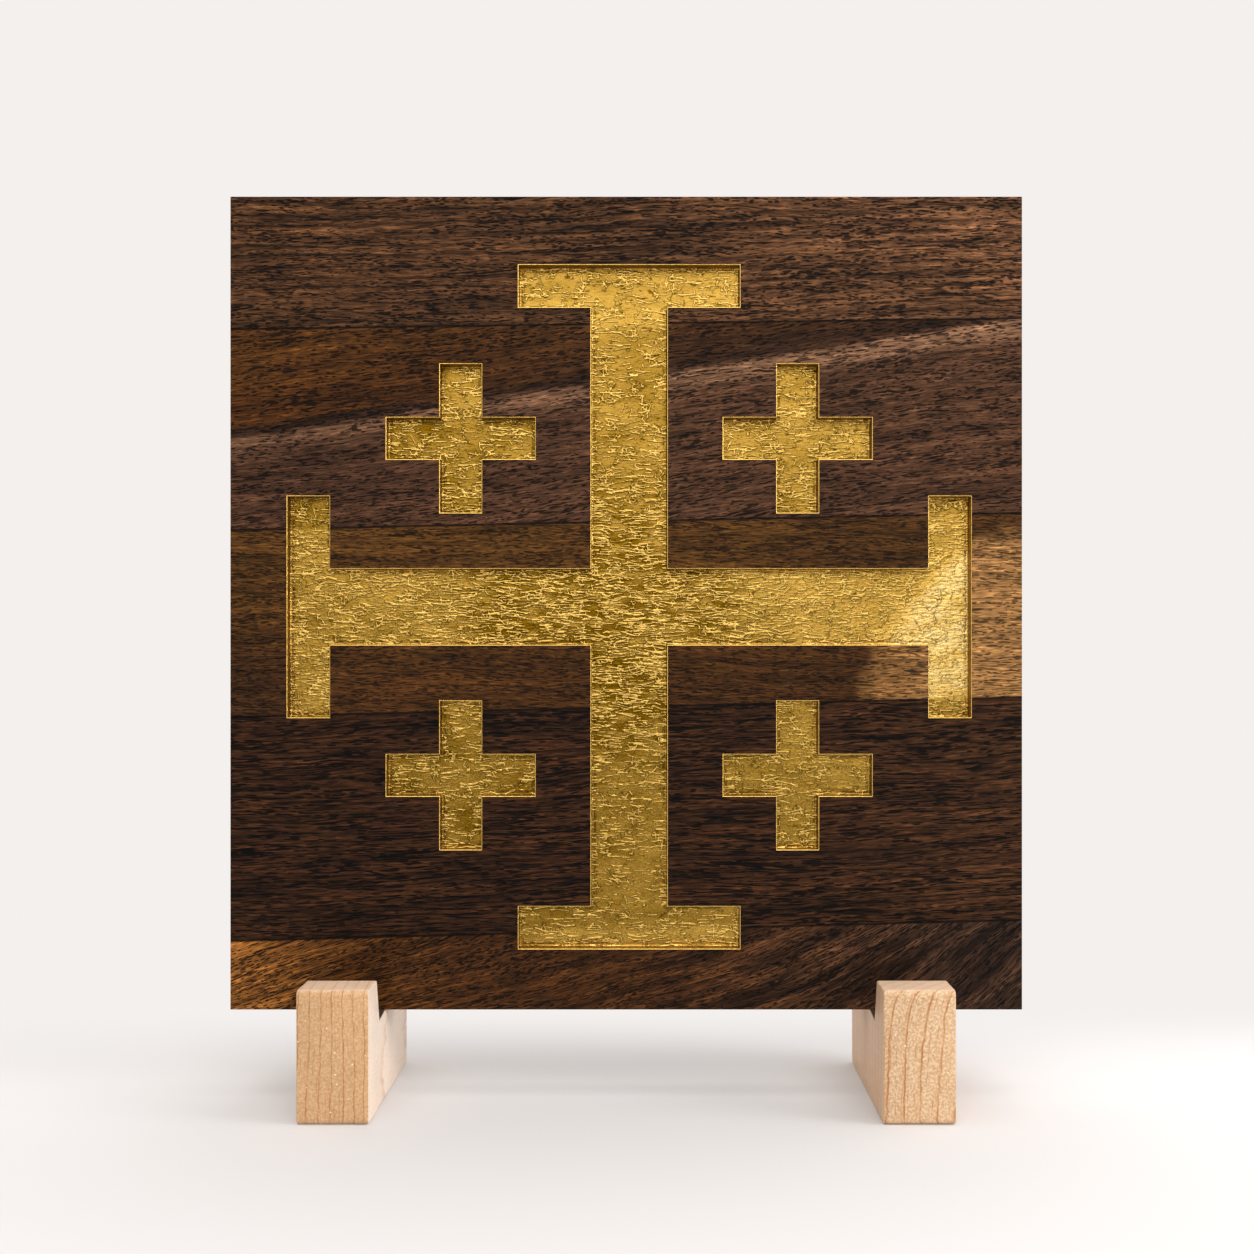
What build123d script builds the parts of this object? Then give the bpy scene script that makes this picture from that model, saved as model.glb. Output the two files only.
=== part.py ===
"""A walnut altar cross: a gilded Jerusalem cross let into a panel of five edge-glued staves,
which stands upright in the slots of two loose maple block feet.

Millimetres, +Z up, front towards -Y. The origin is on the table, midway along the panel
and midway between the front and the back of the feet.
"""

import os

from build123d import *

# Panel: five staves, edge glued and cut square
PANEL_WIDTH = 297.0
PANEL_HEIGHT = 305.0
PANEL_THICKNESS = 19.0
# The glue lines run up to the right. Each pair is a line's depth below the panel's top
# at the left end and at the right end.
GLUE_LINES = [(49.8, 45.6), (125.1, 118.7), (195.3, 187.7), (279.3, 271.3)]

# Recess: a cross with a bar across each arm's end, and four small crosses between its arms
RECESS_DEPTH = 5.2
CROSS_SPAN = 257.0
ARM_WIDTH = 29.0
BAR_LENGTH = 83.5
BAR_WIDTH = 16.3
SMALL_SPAN = 56.3
SMALL_WIDTH = 16.1
SMALL_OFFSET = 63.2
CROSS_RIGHT_OF_MIDDLE = 1.1
CROSS_BELOW_MIDDLE = 1.4

# Gilding: leaf on its size coat, over the recess's floor and walls
GILDING_THICKNESS = 0.3

# Feet: blocks with a slot across them for the panel's lower edge
FOOT_WIDTH = 25.5
FOOT_DEPTH = 78.0
FOOT_HEIGHT = 47.5
LEFT_FOOT_X = -103.0
RIGHT_FOOT_X = 104.0
SLOT_DEPTH = 14.7
SLOT_REAR_WALL = 12.5
SLOT_WIDTH_AT_FLOOR = 30.8
SLOT_WIDTH_AT_TOP = 35.8
SLOT_FLOOR_FALL = 0.9
SLOT_FLOOR_LEVEL = 20.6
FOOT_EDGE_RADIUS = 2.2
LIP_EDGE_RADIUS = 0.8
REAR_CLEARANCE = 0.4

# Places that follow from the dimensions
SLOT_FLOOR = FOOT_HEIGHT - SLOT_DEPTH
PANEL_TOP = SLOT_FLOOR + PANEL_HEIGHT
PANEL_BACK = SLOT_REAR_WALL - REAR_CLEARANCE
PANEL_FRONT = PANEL_BACK - PANEL_THICKNESS
CROSS_X = CROSS_RIGHT_OF_MIDDLE
CROSS_Z = SLOT_FLOOR + PANEL_HEIGHT / 2 - CROSS_BELOW_MIDDLE

# A vertical sketch plane on the panel's front face: x to the right, y up, normal to the front
FRONT_PLANE = Plane(origin=(0, PANEL_FRONT, 0), x_dir=(1, 0, 0), z_dir=(0, -1, 0))


def rectangle(x, z, width, height):
    """An upright rectangle about (x, z), for a sketch on the front plane."""
    return Pos(x, z) * Rectangle(width, height)


def main_cross():
    """The large cross: two arms, and a bar across each of their four ends."""
    reach = (CROSS_SPAN - BAR_WIDTH) / 2
    outline = rectangle(CROSS_X, CROSS_Z, CROSS_SPAN, ARM_WIDTH)
    outline += rectangle(CROSS_X, CROSS_Z, ARM_WIDTH, CROSS_SPAN)
    for side in (-1, 1):
        outline += rectangle(CROSS_X + side * reach, CROSS_Z, BAR_WIDTH, BAR_LENGTH)
        outline += rectangle(CROSS_X, CROSS_Z + side * reach, BAR_LENGTH, BAR_WIDTH)
    return outline


def small_cross(right, up):
    """One small cross, in the quarter given by right and up, each -1 or 1."""
    x, z = CROSS_X + right * SMALL_OFFSET, CROSS_Z + up * SMALL_OFFSET
    return rectangle(x, z, SMALL_SPAN, SMALL_WIDTH) + rectangle(x, z, SMALL_WIDTH, SMALL_SPAN)


def cross_outlines():
    """Every recess's outline, under the name of the gilding that lines it."""
    return {
        "gilding_main_cross": main_cross(),
        "gilding_upper_left_cross": small_cross(-1, 1),
        "gilding_upper_right_cross": small_cross(1, 1),
        "gilding_lower_left_cross": small_cross(-1, -1),
        "gilding_lower_right_cross": small_cross(1, -1),
    }


def recess(outline, inset=0.0):
    """The space cut back from the front face, smaller by inset on its walls and its floor."""
    face = offset(outline, amount=-inset, kind=Kind.INTERSECTION) if inset else outline
    return extrude(FRONT_PLANE * face, amount=-(RECESS_DEPTH - inset))


def gilding(outline):
    """The skin between the recess in the wood and the space left in front of the leaf."""
    return recess(outline) - recess(outline, GILDING_THICKNESS)


def stave(upper, lower):
    """One stave. Each edge is a pair: its depth below the panel's top, left and right."""
    half = PANEL_WIDTH / 2
    corners = [
        (-half, PANEL_TOP - lower[0]),
        (half, PANEL_TOP - lower[1]),
        (half, PANEL_TOP - upper[1]),
        (-half, PANEL_TOP - upper[0]),
    ]
    outline = make_face(Polyline(*corners, close=True))
    return extrude(FRONT_PLANE * outline, amount=-PANEL_THICKNESS)


def staves():
    """The five staves from the top down, with every recess cut into them."""
    edges = [(0.0, 0.0), *GLUE_LINES, (PANEL_HEIGHT, PANEL_HEIGHT)]
    cutters = [recess(outline) for outline in cross_outlines().values()]
    made = {}
    for number, (upper, lower) in enumerate(zip(edges, edges[1:]), start=1):
        solid = stave(upper, lower)
        for cutter in cutters:
            solid -= cutter
        made[f"stave_{number}"] = solid
    return made


def foot(x):
    """One foot about x. The slot's rear wall is upright and square, to back the panel. Its
    floor is level under the panel and falls a little in front of it, to a front wall that
    leans forward to the mouth."""
    back = FOOT_DEPTH / 2
    slot_front_floor = SLOT_REAR_WALL - SLOT_WIDTH_AT_FLOOR
    slot_front_top = SLOT_REAR_WALL - SLOT_WIDTH_AT_TOP
    profile = [
        (-back, 0),
        (back, 0),
        (back, FOOT_HEIGHT),
        (SLOT_REAR_WALL, FOOT_HEIGHT),
        (SLOT_REAR_WALL, SLOT_FLOOR),
        (SLOT_REAR_WALL - SLOT_FLOOR_LEVEL, SLOT_FLOOR),
        (slot_front_floor, SLOT_FLOOR - SLOT_FLOOR_FALL),
        (slot_front_top, FOOT_HEIGHT),
        (-back, FOOT_HEIGHT),
    ]
    side_plane = Plane(origin=(x - FOOT_WIDTH / 2, 0, 0), x_dir=(0, 1, 0), z_dir=(1, 0, 0))
    block = extrude(side_plane * make_face(Polyline(*profile, close=True)), amount=FOOT_WIDTH)

    def runs_across_at(edge, y, z):
        middle = edge @ 0.5
        on_line = abs(middle.Y - y) < 0.01 and abs(middle.Z - z) < 0.01
        return on_line and abs(edge.length - FOOT_WIDTH) < 0.01

    mouth = [
        e
        for e in block.edges()
        if runs_across_at(e, slot_front_top, FOOT_HEIGHT)
        or runs_across_at(e, SLOT_REAR_WALL, FOOT_HEIGHT)
    ]
    block = fillet(mouth, radius=LIP_EDGE_RADIUS)
    ends = [
        e
        for e in block.edges()
        if any(runs_across_at(e, y, z) for y in (-back, back) for z in (0, FOOT_HEIGHT))
    ]
    return fillet(ends, radius=FOOT_EDGE_RADIUS)


def main():
    os.makedirs("parts", exist_ok=True)
    nodes = staves()
    for name, outline in cross_outlines().items():
        nodes[name] = gilding(outline)
    nodes["left_foot"] = foot(LEFT_FOOT_X)
    nodes["right_foot"] = foot(RIGHT_FOOT_X)
    for name, shape in nodes.items():
        export_step(shape, f"parts/{name}.step")


main()
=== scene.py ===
"""The looks of a walnut altar cross with a gilded Jerusalem cross, on two maple feet.

Lengths are in metres unless a name ends in _MM. The row frame has +Z up and the gilded face
towards -Y. The wood patterns are solid: they are set out in the row frame, in millimetres.
"""

import math

import bmesh
import bpy
import numpy as np
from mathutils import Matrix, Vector


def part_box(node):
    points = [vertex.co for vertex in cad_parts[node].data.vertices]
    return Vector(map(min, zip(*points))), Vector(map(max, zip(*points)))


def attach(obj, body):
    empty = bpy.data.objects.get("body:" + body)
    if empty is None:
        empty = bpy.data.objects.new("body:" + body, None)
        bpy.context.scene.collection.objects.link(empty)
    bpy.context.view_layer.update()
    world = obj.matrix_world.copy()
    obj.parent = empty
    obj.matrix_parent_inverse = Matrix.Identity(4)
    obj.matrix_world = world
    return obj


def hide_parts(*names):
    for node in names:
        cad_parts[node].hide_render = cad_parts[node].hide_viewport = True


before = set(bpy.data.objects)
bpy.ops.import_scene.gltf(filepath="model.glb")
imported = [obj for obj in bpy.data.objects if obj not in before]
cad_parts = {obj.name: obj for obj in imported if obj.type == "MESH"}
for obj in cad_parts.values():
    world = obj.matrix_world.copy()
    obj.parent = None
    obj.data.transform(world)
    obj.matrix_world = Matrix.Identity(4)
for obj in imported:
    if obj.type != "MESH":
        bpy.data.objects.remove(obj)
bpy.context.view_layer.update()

MM = 0.001
MERGE = 1e-6


# ---------------------------------------- places from the frame


def corners_of(node):
    """A CAD node's vertices as an array, in metres."""
    return np.array([v.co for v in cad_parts[node].data.vertices], float)


STAVES = [f"stave_{number}" for number in range(1, 6)]
CROSSES = ["main_cross", "upper_left_cross", "upper_right_cross", "lower_left_cross",
           "lower_right_cross"]
top_low, top_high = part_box("stave_1")
PANEL_LEFT, PANEL_RIGHT = top_low.x, top_high.x
PANEL_FRONT, PANEL_BACK = top_low.y, top_high.y


def glue_line(stave):
    """The heights, in metres, of a stave's lower edge at the panel's left and right ends."""
    points = corners_of(stave)
    left = points[points[:, 0] < PANEL_LEFT + MERGE]
    right = points[points[:, 0] > PANEL_RIGHT - MERGE]
    return left[:, 2].min(), right[:, 2].min()


GLUE_LINES = [glue_line(stave) for stave in STAVES[:-1]]


# ---------------------------------------- node trees


class Nodes:
    """The node tree of a material or a world, with a short call for each kind of node."""

    def __init__(self, owner, output="ShaderNodeOutputMaterial"):
        self.owner = owner
        owner.use_nodes = True
        self.tree = owner.node_tree
        self.tree.nodes.clear()
        self.output = self.tree.nodes.new(output)

    def put(self, value, socket):
        """Links a socket, or sets a number or colour."""
        if isinstance(value, bpy.types.NodeSocket):
            self.tree.links.new(value, socket)
        else:
            socket.default_value = value

    def add(self, kind, inputs=(), **settings):
        node = self.tree.nodes.new(kind)
        for key, value in settings.items():
            setattr(node, key, value)
        for key, value in dict(inputs).items():
            self.put(value, node.inputs[key])
        return node

    def math(self, operation, *values, clamp=False):
        node = self.add("ShaderNodeMath", operation=operation, use_clamp=clamp)
        for value, socket in zip(values, node.inputs):
            self.put(value, socket)
        return node.outputs[0]

    def times(self, *values):
        result = values[0]
        for value in values[1:]:
            result = self.math("MULTIPLY", result, value)
        return result

    def vector(self, operation, *values):
        node = self.add("ShaderNodeVectorMath", operation=operation)
        for value, socket in zip(values, node.inputs):
            self.put(value, socket)
        return node.outputs["Value" if operation == "LENGTH" else "Vector"]

    def place_mm(self):
        """The point in the row frame, in millimetres."""
        spot = self.add("ShaderNodeTexCoord").outputs["Object"]
        return self.vector("MULTIPLY", spot, (1000.0, 1000.0, 1000.0))

    def split(self, vector):
        return self.add("ShaderNodeSeparateXYZ", {"Vector": vector}).outputs

    def join(self, x, y, z):
        return self.add("ShaderNodeCombineXYZ", {"X": x, "Y": y, "Z": z}).outputs[0]

    def noise(self, place, size, detail=2.0, roughness=0.5, seed=0.0):
        """Noise from 0 to 1 whose blotches are about size millimetres along X, Y and Z."""
        scaled = self.vector("MULTIPLY", place, tuple(1.0 / s for s in size))
        moved = self.vector("ADD", scaled, (seed * 3.1, seed * 7.7, seed * 5.3))
        inputs = {"Vector": moved, "Scale": 1.0, "Detail": detail, "Roughness": roughness}
        return self.add("ShaderNodeTexNoise", inputs).outputs["Fac"]

    def cells(self, place, size, seed=0.0, **settings):
        """A cell pattern. The distance is 0 at each cell's own point."""
        scaled = self.vector("MULTIPLY", place, tuple(1.0 / s for s in size))
        moved = self.vector("ADD", scaled, (seed * 2.3, seed * 4.1, seed * 6.7))
        node = self.add("ShaderNodeTexVoronoi", {"Vector": moved, "Scale": 1.0}, **settings)
        return node.outputs

    def step(self, value, low, high, start=0.0, end=1.0):
        """start below low, end above high, and a smooth rise between them."""
        inputs = {"Value": value, "From Min": low, "From Max": high, "To Min": start, "To Max": end}
        return self.add("ShaderNodeMapRange", inputs, interpolation_type="SMOOTHSTEP").outputs[0]

    def line(self, value, low, high, start=0.0, end=1.0):
        """A straight rise from start at low to end at high, held level outside them."""
        inputs = {"Value": value, "From Min": low, "From Max": high, "To Min": start, "To Max": end}
        return self.add("ShaderNodeMapRange", inputs, clamp=True).outputs[0]

    def blend(self, amount, first, second, mode="MIX"):
        """first where amount is 0, second where it is 1. Both are colours."""
        node = self.add("ShaderNodeMix", data_type="RGBA", blend_type=mode)
        self.put(amount, node.inputs["Factor"])
        for value, socket in ((first, node.inputs[6]), (second, node.inputs[7])):
            self.put((*value, 1.0) if isinstance(value, tuple) else value, socket)
        return node.outputs[2]

    def tint(self, colour, factor):
        """colour times a number."""
        node = self.add("ShaderNodeVectorMath", operation="SCALE")
        self.put(colour, node.inputs[0])
        self.put(factor, node.inputs["Scale"])
        return node.outputs[0]

    def around(self, value, amount, middle=0.5):
        """How far value is from its middle, times amount."""
        return self.math("MULTIPLY", self.math("SUBTRACT", value, middle), amount)

    def total(self, *values):
        result = values[0]
        for value in values[1:]:
            result = self.math("ADD", result, value)
        return result

    def finish(self, colour, roughness, height, depth_mm, **fixed):
        """The surface. fixed holds the shader's own constant sockets."""
        bump = self.add("ShaderNodeBump", {"Height": height, "Distance": depth_mm * MM,
                                           "Strength": 1.0})
        shader = self.add("ShaderNodeBsdfPrincipled")
        self.put(colour, shader.inputs["Base Color"])
        self.put(roughness, shader.inputs["Roughness"])
        self.put(bump.outputs[0], shader.inputs["Normal"])
        for key, value in fixed.items():
            shader.inputs[key.replace("_", " ")].default_value = value
        self.put(shader.outputs[0], self.output.inputs["Surface"])
        return self.owner

    def finish_mixed(self, amount, first, second):
        """The surface is first where amount is 0, second where it is 1. Both are shaders."""
        mixed = self.add("ShaderNodeMixShader")
        for value, socket in zip((amount, first, second), mixed.inputs):
            self.put(value, socket)
        self.put(mixed.outputs[0], self.output.inputs["Surface"])


def srgb(red, green, blue):
    """A colour given as it looks on a screen, 0 to 255, in the linear values that shaders take."""
    def linear(value):
        value /= 255.0
        return value / 12.92 if value <= 0.04045 else ((value + 0.055) / 1.055) ** 2.4
    return linear(red), linear(green), linear(blue)


# ---------------------------------------- walnut

# In the row frame's millimetres: the middle of the sapwood's rounded edge and how far it reaches
# along X and Z, the dark line in the second stave, and where a bending grain starts to steepen.
SAPWOOD_MIDDLE = (151.0, 141.5)
SAPWOOD_REACH = (64.0, 71.0)
DARK_LINE_HEIGHT, DARK_LINE_SLOPE = 271.0, 0.152
BEND_FROM = 20.0
# How much each marking darkens or lightens the wood, as powers of e, and how wide its pores are
# as shares of a cell.
PLAIN_SHADE = 0.08
RING_SHADE, VEIN_SHADE, PORE_SHADE = -1.5, -1.3, -2.4
BAND_SHADE, STRIPE_SHADE, FIBRE_SHADE = 2.4, 3.2, 3.2
PORE_NARROW, PORE_WIDE = 0.16, 0.42
WALNUT_DEPTH_MM = 0.3


def grain_place(n, place, slope, bend, sway, ripple, seed):
    """The point moved so that the fibres run level along X. bend steepens them to the right."""
    x, y, z = n.split(place)[0:3]
    drift = n.noise(place, (150.0, 60.0, 45.0), detail=1.0, seed=seed)
    wander = n.noise(place, (34.0, 30.0, 11.0), detail=1.5, seed=seed + 3)
    waves = n.noise(place, (6.0, 6.0, 2.6), detail=1.0, seed=seed + 7)
    right = n.math("MAXIMUM", n.math("SUBTRACT", x, BEND_FROM), 0.0)
    steeper = n.times(right, right, bend)
    rise = n.total(n.times(x, slope), steeper)
    level = n.total(n.math("SUBTRACT", z, rise), n.around(drift, sway), n.around(wander, 2.6),
                    n.around(waves, ripple))
    return n.join(x, y, level)


def growth_rings(n, grain, gap, start, seed):
    """0 in pale early wood, rising from start to 1 at each ring's dark edge. Some are faint."""
    level = n.split(grain)[2]
    bend = n.noise(grain, (80.0, 24.0, 8.0), detail=1.0, seed=seed)
    turns = n.math("DIVIDE", n.total(level, n.around(bend, 5.0)), gap)
    share = n.math("FRACT", turns)
    late = n.times(n.step(share, start, 0.9), n.step(share, 0.93, 1.0, 1.0, 0.0))
    number = n.math("FLOOR", turns)
    luck = n.add("ShaderNodeTexWhiteNoise", {"W": number}, noise_dimensions="1D").outputs["Value"]
    fade = n.noise(grain, (28.0, 12.0, 3.0), detail=2.0, seed=seed + 1)
    strength = n.times(n.line(luck, 0.0, 1.0, 0.25, 1.0), n.line(fade, 0.3, 0.7))
    return n.times(late, strength)


def veins(n, grain, seed):
    """Long thin wavy lines that fade in and out."""
    field = n.noise(grain, (44.0, 9.0, 3.2), detail=2.0, roughness=0.4, seed=seed)
    near = n.math("ABSOLUTE", n.math("SUBTRACT", field, 0.5))
    fade = n.noise(grain, (20.0, 10.0, 4.0), detail=1.0, seed=seed + 1)
    return n.times(n.step(near, 0.01, 0.035, 1.0, 0.0), n.step(fade, 0.38, 0.58))


def pore_dashes(n, grain, length, thick, seed):
    """Open pores cut lengthways: short dark dashes, more crowded in some places."""
    spots = n.cells(grain, (length, thick, thick), seed=seed, feature="F1")["Distance"]
    crowd = n.noise(grain, (22.0, 5.0, 3.6), detail=1.5, seed=seed + 1)
    reach = n.line(crowd, 0.34, 0.66, PORE_NARROW, PORE_WIDE)
    return n.step(n.math("SUBTRACT", spots, reach), -0.05, 0.02, 1.0, 0.0)


def glue_shade(n, place):
    """Well under 1 along the glue lines, where the staves' edges meet, and 1 elsewhere."""
    x, _, z = n.split(place)[0:3]
    shade = None
    for left, right in GLUE_LINES:
        tilt = (right - left) / (PANEL_RIGHT - PANEL_LEFT)
        middle = (right + left) / 2 / MM
        above = n.math("SUBTRACT", z, n.total(n.times(x, tilt), middle))
        here = n.step(n.math("ABSOLUTE", above), 0.2, 0.65, 0.2, 1.0)
        shade = here if shade is None else n.times(shade, here)
    return shade


def markings(n, grain, seed, ring_gap, rings, lines, bands, stripes, pores, fibres=1.0,
             ring_start=0.3, stripe_mm=15.0, pore_mm=3.0, pore_thick=0.85):
    """The wood's shade, as a power of e, and the height of its surface. rings to fibres say how
    strong each marking is. ring_start is the share of a ring where its late wood starts. The
    other sizes are in millimetres."""
    late = growth_rings(n, grain, ring_gap, ring_start, seed + 1)
    vein = veins(n, grain, seed + 2)
    band = n.noise(grain, (70.0, 9.0, 3.6), detail=1.0, seed=seed + 3)
    stripe = n.noise(grain, (stripe_mm, 1.4, 0.85), detail=1.5, seed=seed + 4)
    fibre = n.noise(grain, (4.2, 0.6, 0.45), detail=1.5, seed=seed + 6)
    pore = n.math("MAXIMUM", pore_dashes(n, grain, 2.2 * pore_mm, pore_thick, seed + 5),
                  pore_dashes(n, grain, pore_mm, pore_thick, seed + 8))
    shade = n.total(PLAIN_SHADE, n.times(late, RING_SHADE * rings), n.times(vein, VEIN_SHADE * lines),
                    n.times(pore, PORE_SHADE * pores), n.around(band, BAND_SHADE * bands),
                    n.around(stripe, STRIPE_SHADE * stripes), n.around(fibre, FIBRE_SHADE * fibres))
    height = n.total(n.times(pore, -1.3), n.times(vein, -0.5), n.around(stripe, 0.8),
                     n.around(fibre, 0.6))
    return shade, height


def walnut(name, region, seed, slope, bend=0.0, sway=9.0, ripple=0.9, **marks):
    """Oiled walnut. region(n, place, grain) gives its colour before the markings."""
    n = Nodes(bpy.data.materials.new(name))
    place = n.place_mm()
    grain = grain_place(n, place, slope, bend, sway, ripple, seed)
    shade, height = markings(n, grain, seed, **marks)
    colour = n.tint(region(n, place, grain), n.math("POWER", math.e, shade))
    colour = n.tint(colour, glue_shade(n, place))
    roughness = n.line(shade, -1.2, 0.6, 0.62, 0.46)
    return n.finish(colour, roughness, height, WALNUT_DEPTH_MM, Specular_IOR_Level=0.1)


def along(n, place, points):
    """A number that follows X: points is a list of (x in mm, value), joined by soft steps."""
    x = n.split(place)[0]
    value = points[0][1]
    for (x0, v0), (x1, v1) in zip(points, points[1:]):
        rise = n.step(x, x0, x1, 0.0, v1 - v0)
        value = n.total(value, rise)
    return value


def over_line(n, place, height, slope, seed, ragged=2.0):
    """How far, in mm, the point is above a sloping and slightly ragged line."""
    x, _, z = n.split(place)[0:3]
    torn = n.noise(place, (34.0, 20.0, 3.0), detail=2.0, seed=seed)
    line = n.total(n.times(x, slope), height)
    return n.total(n.math("SUBTRACT", z, line), n.around(torn, ragged))


def hump(n, value, low, peak, high):
    """0 outside low and high, 1 at peak."""
    return n.times(n.step(value, low, peak), n.step(value, peak, high, 1.0, 0.0))


def mottled(n, colour, grain, size, low, high, seed):
    """colour made lighter and darker in soft blotches."""
    return n.tint(colour, n.line(n.noise(grain, size, detail=2.0, seed=seed), 0.32, 0.68, low, high))


def region_purple(n, place, grain):
    """The top stave: purple-brown, lighter to the right."""
    to_right = along(n, place, [(-20.0, 0.0), (140.0, 1.0)])
    colour = n.blend(to_right, srgb(80, 51, 29), srgb(105, 70, 45))
    colour = mottled(n, colour, grain, (110.0, 9.0, 8.0), 0.74, 1.22, 11)
    low_left = n.times(over_line(n, place, 300.0, 0.0, 12), -1.0)
    return n.tint(colour, n.line(low_left, -20.0, 12.0, 1.0, 0.86))


def region_streaked(n, place, grain):
    """The second stave: golden brown over a dark line, and a pale mauve streak under it."""
    over = over_line(n, place, DARK_LINE_HEIGHT, DARK_LINE_SLOPE, 21)
    to_right = along(n, place, [(-110.0, 0.0), (10.0, 1.0)])
    golden = n.blend(to_right, srgb(71, 39, 9), srgb(67, 39, 16))
    golden = n.blend(n.step(over, 4.0, 34.0, 0.0, 0.45), golden, srgb(82, 50, 15))
    mauve = n.blend(to_right, srgb(72, 46, 31), srgb(78, 51, 34))
    mauve = mottled(n, mauve, grain, (60.0, 9.0, 7.0), 0.78, 1.2, 24)
    colour = n.blend(n.step(over, -1.0, 2.0), mauve, golden)
    pale = n.times(hump(n, over, -13.0, -2.6, -0.8),
                   along(n, place, [(-150.0, 0.45), (-60.0, 0.45), (-20.0, 0.75), (40.0, 0.95)]))
    colour = n.blend(pale, colour, srgb(124, 90, 66))
    wide = along(n, place, [(-60.0, 0.0), (60.0, 1.0)])
    dark = n.math("MAXIMUM", hump(n, over, -1.6, 0.4, 4.0),
                  n.times(hump(n, over, -1.0, 2.0, 13.0), n.times(wide, 0.8)))
    return n.blend(n.times(dark, 0.72), colour, srgb(32, 19, 12))


def sapwood_share(n, place):
    """1 in the pale sapwood at the middle stave's right end, 0 in the heartwood."""
    x, _, z = n.split(place)[0:3]
    across = n.math("DIVIDE", n.math("SUBTRACT", x, SAPWOOD_MIDDLE[0]), SAPWOOD_REACH[0])
    up = n.math("DIVIDE", n.math("SUBTRACT", z, SAPWOOD_MIDDLE[1]), SAPWOOD_REACH[1])
    out = n.vector("LENGTH", n.join(across, up, 0.0))
    torn = n.noise(place, (14.0, 9.0, 5.0), detail=3.0, seed=31)
    return n.step(n.total(out, n.around(torn, 0.2)), 0.9, 1.06, 1.0, 0.0)


def region_sapwood(n, place, grain):
    """The middle stave: olive brown, darker below and before the sapwood."""
    lower = n.step(over_line(n, place, 176.0, 0.02, 32, ragged=8.0), -14.0, 10.0)
    colour = n.blend(lower, srgb(68, 40, 13), srgb(82, 52, 18))
    colour = n.blend(along(n, place, [(40.0, 0.0), (96.0, 0.55)]), colour, srgb(57, 34, 12))
    left = n.times(along(n, place, [(-150.0, 0.75), (-92.0, 0.0)]),
                   n.line(lower, 0.0, 1.0, 1.0, 0.1))
    colour = n.blend(left, colour, srgb(51, 30, 12))
    colour = mottled(n, colour, grain, (70.0, 14.0, 9.0), 0.84, 1.14, 33)
    to_end = along(n, place, [(98.0, 0.0), (120.0, 1.0)])
    sapwood = n.blend(to_end, srgb(126, 88, 47), srgb(152, 110, 64))
    return n.blend(sapwood_share(n, place), colour, sapwood)


def region_chocolate(n, place, grain):
    """The fourth stave: dark chocolate with straight stripes."""
    to_right = along(n, place, [(40.0, 0.0), (140.0, 1.0)])
    colour = n.blend(to_right, srgb(51, 28, 12), srgb(62, 37, 19))
    return mottled(n, colour, grain, (120.0, 8.0, 6.0), 0.7, 1.28, 41)


def region_figured(n, place, grain):
    """The bottom stave: orange-brown at the left end, dark and swirling at the right."""
    start = along(n, place, [(-150.0, 0.0), (-96.0, 0.85), (-60.0, 1.0)])
    colour = n.blend(start, srgb(124, 78, 31), srgb(64, 36, 12))
    colour = n.blend(along(n, place, [(-20.0, 0.0), (130.0, 1.0)]), colour, srgb(52, 34, 23))
    swirl = n.noise(grain, (36.0, 14.0, 6.5), detail=3.0, roughness=0.62, seed=51)
    strength = along(n, place, [(-60.0, 0.25), (70.0, 1.0)])
    light = n.math("POWER", 3.6, n.times(strength, n.around(swirl, 4.4)))
    return n.tint(colour, light)


# For each stave: its material's name, its own colours, and how its grain runs and is marked.
WALNUTS = {
    "stave_1": ("walnut_purple", region_purple, {
        "seed": 1.0, "slope": 0.03, "ripple": 1.1, "ring_gap": 4.2, "ring_start": 0.5,
        "rings": 1.1, "lines": 1.0, "bands": 0.8, "stripes": 0.45, "pores": 0.85,
        "pore_thick": 0.8}),
    "stave_2": ("walnut_streaked", region_streaked, {
        "seed": 12.0, "slope": 0.13, "ring_gap": 6.0,
        "rings": 0.3, "lines": 0.5, "bands": 0.6, "stripes": 0.6, "pores": 0.7,
        "fibres": 0.9}),
    "stave_3": ("walnut_sapwood", region_sapwood, {
        "seed": 23.0, "slope": -0.01, "ring_gap": 7.0,
        "rings": 0.25, "lines": 0.5, "bands": 0.6, "stripes": 0.45, "pores": 0.5,
        "fibres": 0.9, "pore_thick": 0.75}),
    "stave_4": ("walnut_chocolate", region_chocolate, {
        "seed": 34.0, "slope": 0.045, "ripple": 0.35, "ring_gap": 2.4, "ring_start": 0.55,
        "rings": 1.5, "lines": 1.3, "bands": 0.5, "stripes": 0.6, "pores": 0.9,
        "stripe_mm": 24.0, "pore_mm": 5.0}),
    "stave_5": ("walnut_figured", region_figured, {
        "seed": 45.0, "slope": 0.3, "bend": 0.0018, "sway": 20.0, "ring_gap": 5.0,
        "rings": 0.3, "lines": 0.4, "bands": 0.7, "stripes": 0.6, "pores": 0.7,
        "pore_mm": 2.6}),
}


# ---------------------------------------- maple

# In the row frame's millimetres: the height where the rings start to curl over, the heights that
# hold the slot's floor, and how far back along Y the painted shade on its front part fades out.
CURL_FROM = 38.0
SLOT_FROM, SLOT_TO = 31.0, 34.0
PAINTED_SHADE_FROM, PAINTED_SHADE_TO = -6.0, 1.0
MAPLE_TOP = srgb(224, 194, 168)
FRECKLE, LATE_WOOD, RING_LINE = srgb(200, 152, 104), srgb(206, 152, 102), srgb(176, 112, 58)
# The last of these colours is painted shade, laid on the front of the slot's floor where the lip and the
# panel shade it.
FLECK, CHALKY, PAINTED_SLOT_SHADE = srgb(164, 108, 60), srgb(255, 244, 230), srgb(44, 27, 17)
MAPLE_DEPTH_MM = 0.12


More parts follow.
